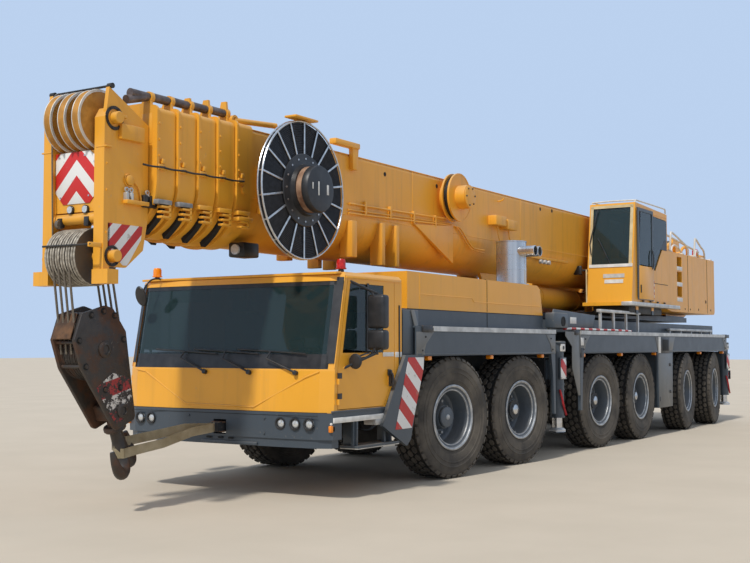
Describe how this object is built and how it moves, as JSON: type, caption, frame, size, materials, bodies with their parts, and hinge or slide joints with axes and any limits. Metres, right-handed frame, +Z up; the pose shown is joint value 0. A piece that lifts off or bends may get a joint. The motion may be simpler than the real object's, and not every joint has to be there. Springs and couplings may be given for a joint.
{
  "type": "six-axle all-terrain mobile crane",
  "caption": "Telescopic mobile crane on a road carrier with steered wheels, outriggers, slewing superstructure, operator's cab, luffing boom and hook block.",
  "frame": {"origin": "on the ground below the middle of the overall length, in the vertical middle plane", "axes": "+X forward, +Y the vehicle's left side, +Z up"},
  "size_m": [18.13, 3.5, 4.252],
  "materials": {
    "crane_yellow": "semi-gloss machine enamel, dusty",
    "chassis_grey": "satin dark grey enamel, dusty",
    "axle_black": "matt underbody paint, dusty",
    "light_aluminium": "dull extruded aluminium",
    "tyre": "matt rubber with dust",
    "wheel_grey": "satin grey wheel enamel",
    "cab_glass": "tinted safety glass",
    "cab_black": "moulded black plastic",
    "seat_fabric": "dark woven seat cloth",
    "engine_iron": "painted casting",
    "silencer_steel": "rolled stainless sheet",
    "rod_chrome": "hard chromed rod",
    "reel_black": "black enamel with bare metal rim",
    "block_black": "worn black paint with rust"
  },
  "bodies": {
    "carrier": {"chassis_frame": "chassis_grey", "axle_beams": "axle_black", "carrier_deck": "chassis_grey", "deck_rails": "light_aluminium", "driver_cab": "crane_yellow", "driver_cab_glass": "cab_glass", "driver_cab_interior": "cab_black", "front_bumper": "chassis_grey", "engine_hood": "crane_yellow", "engine_block": "engine_iron", "exhaust_silencer": "silencer_steel"},
    "knuckle_1_left": {"knuckle_1_left": "axle_black"},
    "wheel_1_left": {"wheel_1_left": "tyre"},
    "knuckle_1_right": {"knuckle_1_right": "axle_black"},
    "wheel_1_right": {"wheel_1_right": "tyre"},
    "knuckle_2_left": {"knuckle_2_left": "axle_black"},
    "wheel_2_left": {"wheel_2_left": "tyre"},
    "knuckle_2_right": {"knuckle_2_right": "axle_black"},
    "wheel_2_right": {"wheel_2_right": "tyre"},
    "knuckle_3_left": {"knuckle_3_left": "axle_black"},
    "wheel_3_left": {"wheel_3_left": "tyre"},
    "knuckle_3_right": {"knuckle_3_right": "axle_black"},
    "wheel_3_right": {"wheel_3_right": "tyre"},
    "wheel_4_left": {"wheel_4_left": "tyre"},
    "wheel_4_right": {"wheel_4_right": "tyre"},
    "knuckle_5_left": {"knuckle_5_left": "axle_black"},
    "wheel_5_left": {"wheel_5_left": "tyre"},
    "knuckle_5_right": {"knuckle_5_right": "axle_black"},
    "wheel_5_right": {"wheel_5_right": "tyre"},
    "knuckle_6_left": {"knuckle_6_left": "axle_black"},
    "wheel_6_left": {"wheel_6_left": "tyre"},
    "knuckle_6_right": {"knuckle_6_right": "axle_black"},
    "wheel_6_right": {"wheel_6_right": "tyre"},
    "outrigger_front_left": {"outrigger_front_left": "chassis_grey"},
    "jack_front_left": {"jack_front_left": "rod_chrome"},
    "outrigger_front_right": {"outrigger_front_right": "chassis_grey"},
    "jack_front_right": {"jack_front_right": "rod_chrome"},
    "outrigger_rear_left": {"outrigger_rear_left": "chassis_grey"},
    "jack_rear_left": {"jack_rear_left": "rod_chrome"},
    "outrigger_rear_right": {"outrigger_rear_right": "chassis_grey"},
    "jack_rear_right": {"jack_rear_right": "rod_chrome"},
    "cab_door_left": {"cab_door_left": "crane_yellow"},
    "cab_door_right": {"cab_door_right": "crane_yellow"},
    "superstructure": {"turntable": "crane_yellow", "crane_cab": "crane_yellow", "crane_cab_glass": "cab_glass", "crane_cab_seat": "seat_fabric"},
    "hoist_drum": {"hoist_drum": "crane_yellow"},
    "crane_cab_door": {"crane_cab_door": "chassis_grey"},
    "boom_base": {"boom_base": "crane_yellow"},
    "lift_cylinder": {"lift_cylinder": "crane_yellow"},
    "lift_rod": {"lift_rod": "rod_chrome"},
    "boom_section_1": {"boom_section_1": "crane_yellow"},
    "boom_section_2": {"boom_section_2": "crane_yellow"},
    "boom_section_3": {"boom_section_3": "crane_yellow"},
    "boom_section_4": {"boom_section_4": "crane_yellow"},
    "boom_head": {"boom_head": "crane_yellow", "head_sheaves": "crane_yellow"},
    "hook_block": {"hook_block": "block_black"},
    "cable_reel": {"cable_reel": "reel_black"}
  },
  "joints": [
    {"name": "steer_1_left", "type": "hinge", "parent": "carrier", "child": "knuckle_1_left", "pos_m": [3.95, 1.05, 0.75], "axis": [0, 0, 1], "range_deg": [-21, 39]},
    {"name": "spin_1_left", "type": "hinge", "parent": "knuckle_1_left", "child": "wheel_1_left", "pos_m": [3.9852, 1.27223, 0.75], "axis": [0.1564, 0.9877, 0], "continuous": true},
    {"name": "steer_1_right", "type": "hinge", "parent": "carrier", "child": "knuckle_1_right", "pos_m": [3.95, -1.05, 0.75], "axis": [0, 0, 1], "range_deg": [-21, 39]},
    {"name": "spin_1_right", "type": "hinge", "parent": "knuckle_1_right", "child": "wheel_1_right", "pos_m": [3.9148, -1.27223, 0.75], "axis": [0.1564, 0.9877, 0], "continuous": true},
    {"name": "steer_2_left", "type": "hinge", "parent": "carrier", "child": "knuckle_2_left", "pos_m": [1.98, 1.05, 0.75], "axis": [0, 0, 1], "range_deg": [-15.12, 28.08]},
    {"name": "spin_2_left", "type": "hinge", "parent": "knuckle_2_left", "child": "wheel_2_left", "pos_m": [2.00539, 1.27356, 0.75], "axis": [0.1129, 0.9936, 0], "continuous": true},
    {"name": "steer_2_right", "type": "hinge", "parent": "carrier", "child": "knuckle_2_right", "pos_m": [1.98, -1.05, 0.75], "axis": [0, 0, 1], "range_deg": [-15.12, 28.08]},
    {"name": "spin_2_right", "type": "hinge", "parent": "knuckle_2_right", "child": "wheel_2_right", "pos_m": [1.95461, -1.27356, 0.75], "axis": [0.1129, 0.9936, 0], "continuous": true},
    {"name": "steer_3_left", "type": "hinge", "parent": "carrier", "child": "knuckle_3_left", "pos_m": [-1.03, 1.05, 0.75], "axis": [0, 0, 1], "range_deg": [-10.5, 19.5]},
    {"name": "spin_3_left", "type": "hinge", "parent": "knuckle_3_left", "child": "wheel_3_left", "pos_m": [-1.01235, 1.27431, 0.75], "axis": [0.0785, 0.9969, 0], "continuous": true},
    {"name": "steer_3_right", "type": "hinge", "parent": "carrier", "child": "knuckle_3_right", "pos_m": [-1.03, -1.05, 0.75], "axis": [0, 0, 1], "range_deg": [-10.5, 19.5]},
    {"name": "spin_3_right", "type": "hinge", "parent": "knuckle_3_right", "child": "wheel_3_right", "pos_m": [-1.04765, -1.27431, 0.75], "axis": [0.0785, 0.9969, 0], "continuous": true},
    {"name": "spin_4_left", "type": "hinge", "parent": "carrier", "child": "wheel_4_left", "pos_m": [-2.95, 1.275, 0.75], "axis": [0, 1, 0], "continuous": true},
    {"name": "spin_4_right", "type": "hinge", "parent": "carrier", "child": "wheel_4_right", "pos_m": [-2.95, -1.275, 0.75], "axis": [0, 1, 0], "continuous": true},
    {"name": "steer_5_left", "type": "hinge", "parent": "carrier", "child": "knuckle_5_left", "pos_m": [-5.67, 1.05, 0.75], "axis": [0, 0, 1], "range_deg": [-23.4, 12.6]},
    {"name": "spin_5_left", "type": "hinge", "parent": "knuckle_5_left", "child": "wheel_5_left", "pos_m": [-5.69117, 1.274, 0.75], "axis": [-0.0941, 0.9956, 0], "continuous": true},
    {"name": "steer_5_right", "type": "hinge", "parent": "carrier", "child": "knuckle_5_right", "pos_m": [-5.67, -1.05, 0.75], "axis": [0, 0, 1], "range_deg": [-23.4, 12.6]},
    {"name": "spin_5_right", "type": "hinge", "parent": "knuckle_5_right", "child": "wheel_5_right", "pos_m": [-5.64883, -1.274, 0.75], "axis": [-0.0941, 0.9956, 0], "continuous": true},
    {"name": "steer_6_left", "type": "hinge", "parent": "carrier", "child": "knuckle_6_left", "pos_m": [-7.58, 1.05, 0.75], "axis": [0, 0, 1], "range_deg": [-29.25, 15.75]},
    {"name": "spin_6_left", "type": "hinge", "parent": "knuckle_6_left", "child": "wheel_6_left", "pos_m": [-7.60645, 1.27344, 0.75], "axis": [-0.1175, 0.9931, 0], "continuous": true},
    {"name": "steer_6_right", "type": "hinge", "parent": "carrier", "child": "knuckle_6_right", "pos_m": [-7.58, -1.05, 0.75], "axis": [0, 0, 1], "range_deg": [-29.25, 15.75]},
    {"name": "spin_6_right", "type": "hinge", "parent": "knuckle_6_right", "child": "wheel_6_right", "pos_m": [-7.55355, -1.27344, 0.75], "axis": [-0.1175, 0.9931, 0], "continuous": true},
    {"name": "extend_front_left", "type": "slide", "parent": "carrier", "child": "outrigger_front_left", "axis": [0, 1, 0], "range_m": [0, 2]},
    {"name": "lower_jack_front_left", "type": "slide", "parent": "outrigger_front_left", "child": "jack_front_left", "axis": [0, 0, -1], "range_m": [0, 0.65]},
    {"name": "extend_front_right", "type": "slide", "parent": "carrier", "child": "outrigger_front_right", "axis": [0, -1, 0], "range_m": [0, 2]},
    {"name": "lower_jack_front_right", "type": "slide", "parent": "outrigger_front_right", "child": "jack_front_right", "axis": [0, 0, -1], "range_m": [0, 0.65]},
    {"name": "extend_rear_left", "type": "slide", "parent": "carrier", "child": "outrigger_rear_left", "axis": [0, 1, 0], "range_m": [0, 2]},
    {"name": "lower_jack_rear_left", "type": "slide", "parent": "outrigger_rear_left", "child": "jack_rear_left", "axis": [0, 0, -1], "range_m": [0, 0.65]},
    {"name": "extend_rear_right", "type": "slide", "parent": "carrier", "child": "outrigger_rear_right", "axis": [0, -1, 0], "range_m": [0, 2]},
    {"name": "lower_jack_rear_right", "type": "slide", "parent": "outrigger_rear_right", "child": "jack_rear_right", "axis": [0, 0, -1], "range_m": [0, 0.65]},
    {"name": "open_cab_door_left", "type": "hinge", "parent": "carrier", "child": "cab_door_left", "pos_m": [6.5565, 1.46, 1.3], "axis": [0, 0, -1], "range_deg": [0, 75]},
    {"name": "open_cab_door_right", "type": "hinge", "parent": "carrier", "child": "cab_door_right", "pos_m": [6.5565, -1.46, 1.3], "axis": [0, 0, 1], "range_deg": [0, 75]},
    {"name": "slew", "type": "hinge", "parent": "carrier", "child": "superstructure", "pos_m": [-4.31, 0, 2.135], "axis": [0, 0, 1], "continuous": true},
    {"name": "hoist_spin", "type": "hinge", "parent": "superstructure", "child": "hoist_drum", "pos_m": [-8.42, 0, 3.64], "axis": [0, 1, 0], "continuous": true},
    {"name": "slide_crane_cab_door", "type": "slide", "parent": "superstructure", "child": "crane_cab_door", "axis": [-1, 0, 0], "range_m": [0, 0.62]},
    {"name": "luff", "type": "hinge", "parent": "superstructure", "child": "boom_base", "pos_m": [-6.45, 0, 3.25], "axis": [0, -1, 0], "range_deg": [0, 82]},
    {"name": "lift_cylinder_tilt", "type": "hinge", "parent": "superstructure", "child": "lift_cylinder", "pos_m": [-3.75, 0, 2.47], "axis": [0, -1, 0], "range_deg": [0, 97.65]},
    {"name": "lift_rod_slide", "type": "slide", "parent": "lift_cylinder", "child": "lift_rod", "axis": [1, 0, 0.0071], "range_m": [0, 3.3843]},
    {"name": "telescope_1", "type": "slide", "parent": "boom_base", "child": "boom_section_1", "axis": [1, 0, 0], "range_m": [0, 8.9]},
    {"name": "telescope_2", "type": "slide", "parent": "boom_section_1", "child": "boom_section_2", "axis": [1, 0, 0], "range_m": [0, 8.9]},
    {"name": "telescope_3", "type": "slide", "parent": "boom_section_2", "child": "boom_section_3", "axis": [1, 0, 0], "range_m": [0, 8.9]},
    {"name": "telescope_4", "type": "slide", "parent": "boom_section_3", "child": "boom_section_4", "axis": [1, 0, 0], "range_m": [0, 8.9]},
    {"name": "telescope_5", "type": "slide", "parent": "boom_section_4", "child": "boom_head", "axis": [1, 0, 0], "range_m": [0, 8.9]},
    {"name": "hook_hang", "type": "hinge", "parent": "boom_head", "child": "hook_block", "pos_m": [8.8, 0, 2.48], "axis": [0, -1, 0], "range_deg": [-66.1, 0]},
    {"name": "cable_reel_spin", "type": "hinge", "parent": "boom_base", "child": "cable_reel", "pos_m": [6.48, 0.93, 3.33], "axis": [0, 1, 0], "continuous": true}
  ],
  "couplings": [
    {"joint": "steer_1_right", "follows": "steer_1_left", "ratio": 1},
    {"joint": "steer_2_left", "follows": "steer_1_left", "ratio": 0.72},
    {"joint": "steer_2_right", "follows": "steer_1_left", "ratio": 0.72},
    {"joint": "steer_3_left", "follows": "steer_1_left", "ratio": 0.5},
    {"joint": "steer_3_right", "follows": "steer_1_left", "ratio": 0.5},
    {"joint": "steer_5_left", "follows": "steer_1_left", "ratio": -0.6},
    {"joint": "steer_5_right", "follows": "steer_1_left", "ratio": -0.6},
    {"joint": "steer_6_left", "follows": "steer_1_left", "ratio": -0.75},
    {"joint": "steer_6_right", "follows": "steer_1_left", "ratio": -0.75},
    {"joint": "lift_cylinder_tilt", "follows": "luff", "ratio": 1.1848},
    {"joint": "lift_rod_slide", "follows": "luff", "m_per_rad": 2.3577},
    {"joint": "telescope_2", "follows": "telescope_1", "ratio": 1},
    {"joint": "telescope_3", "follows": "telescope_1", "ratio": 1},
    {"joint": "telescope_4", "follows": "telescope_1", "ratio": 1},
    {"joint": "telescope_5", "follows": "telescope_1", "ratio": 1},
    {"joint": "hook_hang", "follows": "luff", "ratio": -0.8}
  ]
}
